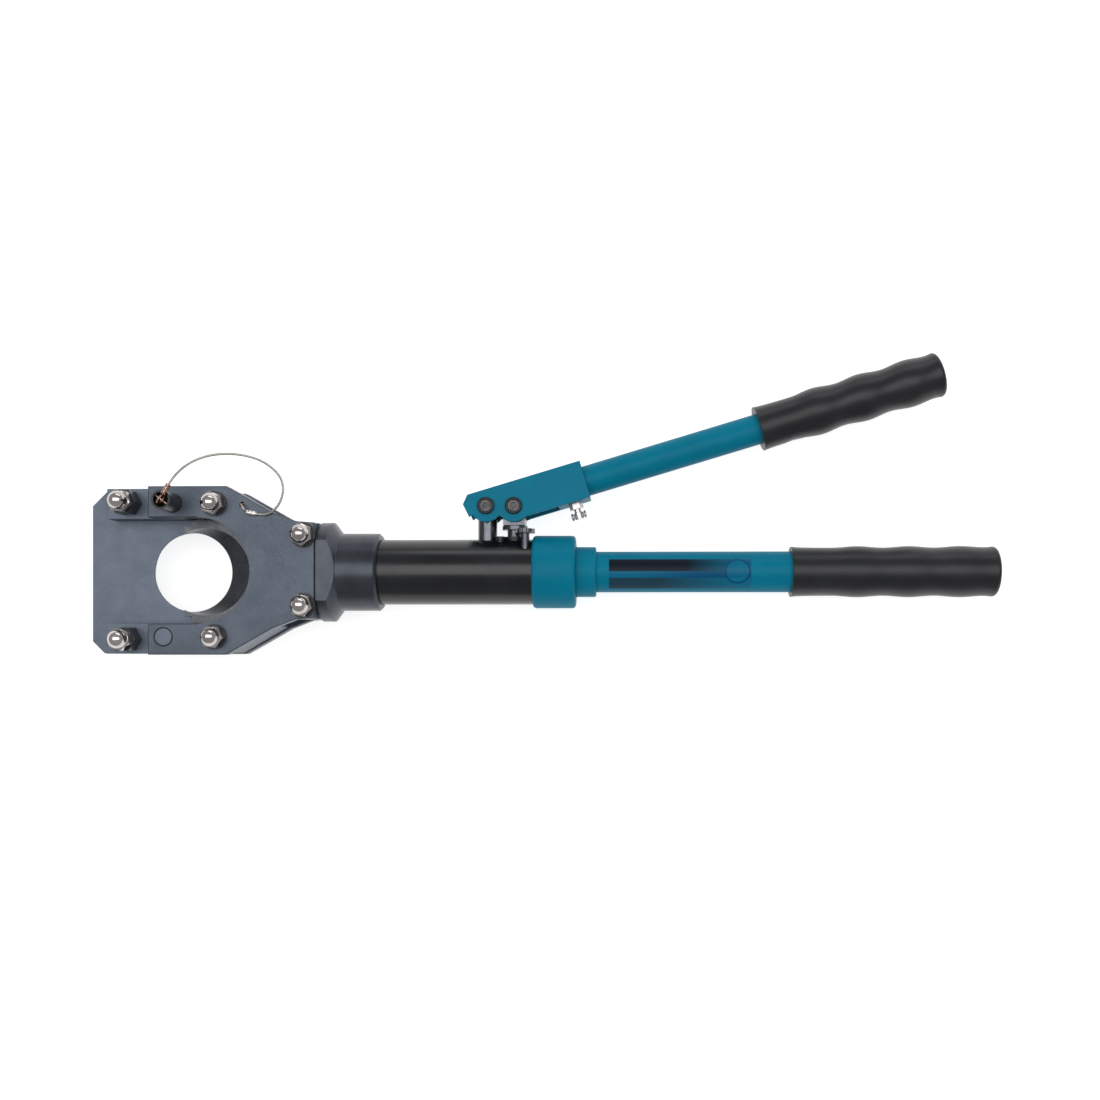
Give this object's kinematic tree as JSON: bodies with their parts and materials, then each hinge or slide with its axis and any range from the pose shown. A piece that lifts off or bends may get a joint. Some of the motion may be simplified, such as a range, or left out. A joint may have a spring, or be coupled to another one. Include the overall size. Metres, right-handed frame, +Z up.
{
  "type": "hydraulic cable cutter",
  "caption": "Hand-pumped hydraulic cable cutter on its side: square head with a round cable opening, sliding blade, lock pin on a wire lanyard, cylinder, pump lever and rubber-gripped handle.",
  "frame": {"origin": "on the bench that the tool lies on, under the middle of its length and width, the loose lanyard left out", "axes": "+X along the cylinder from the cutting head to the end of the handle grip, +Y across to the side of the pump lever, +Z up from the bench, through the cable opening"},
  "size_m": [0.5932, 0.196, 0.0843],
  "materials": {
    "head_steel": "satin blue-grey",
    "blade_steel": "ground",
    "bright_chrome": "polished",
    "plated_steel": "satin",
    "black_oxide": "oiled black",
    "black_enamel": "gloss",
    "teal_enamel": "satin gloss",
    "black_rubber": "matt",
    "aluminium_block": "machined",
    "stainless_wire": "drawn wire",
    "copper_crimp": "crimped"
  },
  "bodies": {
    "head": {"front_plate": "head_steel", "rear_plate": "head_steel", "upper_rail": "head_steel", "lower_rail": "head_steel", "fixed_jaw": "head_steel", "upper_jaw_bar": "head_steel", "lower_jaw_bar": "head_steel", "jaw_pivot_pin": "head_steel", "plate_bolts": "plated_steel", "plate_washers": "black_oxide", "plate_dome_nuts": "bright_chrome", "jaw_bolts": "plated_steel", "jaw_spacer_nuts": "black_oxide", "jaw_dome_nuts": "bright_chrome", "neck": "head_steel", "rod_wiper": "black_rubber", "barrel": "black_enamel", "return_spring": "plated_steel", "pump_block": "aluminium_block", "delivery_ball": "plated_steel", "suction_ball": "plated_steel", "fulcrum_post": "black_oxide", "plunger_gland": "black_oxide", "bleed_screw": "black_oxide", "rear_collar": "teal_enamel", "handle_adapter": "teal_enamel", "handle_tube": "teal_enamel", "oil_bladder": "black_rubber", "bladder_plug": "aluminium_block", "handle_grip": "black_rubber", "lanyard_wire": "stainless_wire", "plate_ferrule": "copper_crimp", "plate_eye": "stainless_wire"},
    "ram": {"ram": "plated_steel", "blade_pin": "plated_steel", "moving_blade": "blade_steel", "piston": "aluminium_block", "piston_seal": "black_rubber"},
    "plunger": {"plunger": "black_oxide"},
    "lever": {"lever_yoke": "teal_enamel", "yoke_strap": "teal_enamel", "fulcrum_screw": "black_oxide", "plunger_screw": "black_oxide", "lever_tube": "teal_enamel", "lever_grip": "black_rubber", "wing_screw_nut": "bright_chrome"},
    "wing_screw": {"wing_screw": "bright_chrome"},
    "release_knob": {"release_knob": "black_oxide"},
    "lock_pin": {"lock_pin": "black_oxide", "pin_eye": "stainless_wire", "pin_ferrule": "copper_crimp"}
  },
  "joints": [
    {"name": "ram_slide", "type": "slide", "parent": "head", "child": "ram", "axis": [-1, 0, 0], "range_m": [0, 0.055], "deforming": ["return_spring"]},
    {"name": "lever_swing", "type": "hinge", "parent": "head", "child": "lever", "pos_m": [-0.0346, -0.00175, 0.0329], "axis": [0, 0, 1], "range_deg": [-9, 25]},
    {"name": "plunger_slide", "type": "slide", "parent": "head", "child": "plunger", "axis": [0, 1, 0], "range_m": [-0.003, 0.008]},
    {"name": "wing_screw_turn", "type": "hinge", "parent": "lever", "child": "wing_screw", "pos_m": [0.02479, -0.00481, 0.0329], "axis": [-0.2874, 0.9578, 0], "continuous": true},
    {"name": "release_knob_turn", "type": "hinge", "parent": "head", "child": "release_knob", "pos_m": [-0.0091, -0.01905, 0.0459], "axis": [0, 1, 0], "range_deg": [0, 180]},
    {"name": "lock_pin_pull", "type": "slide", "parent": "head", "child": "lock_pin", "axis": [0, 0, 1], "range_m": [0, 0.056]}
  ],
  "couplings": [
    {"joint": "plunger_slide", "follows": "lever_swing", "m_per_rad": 0.0177}
  ]
}
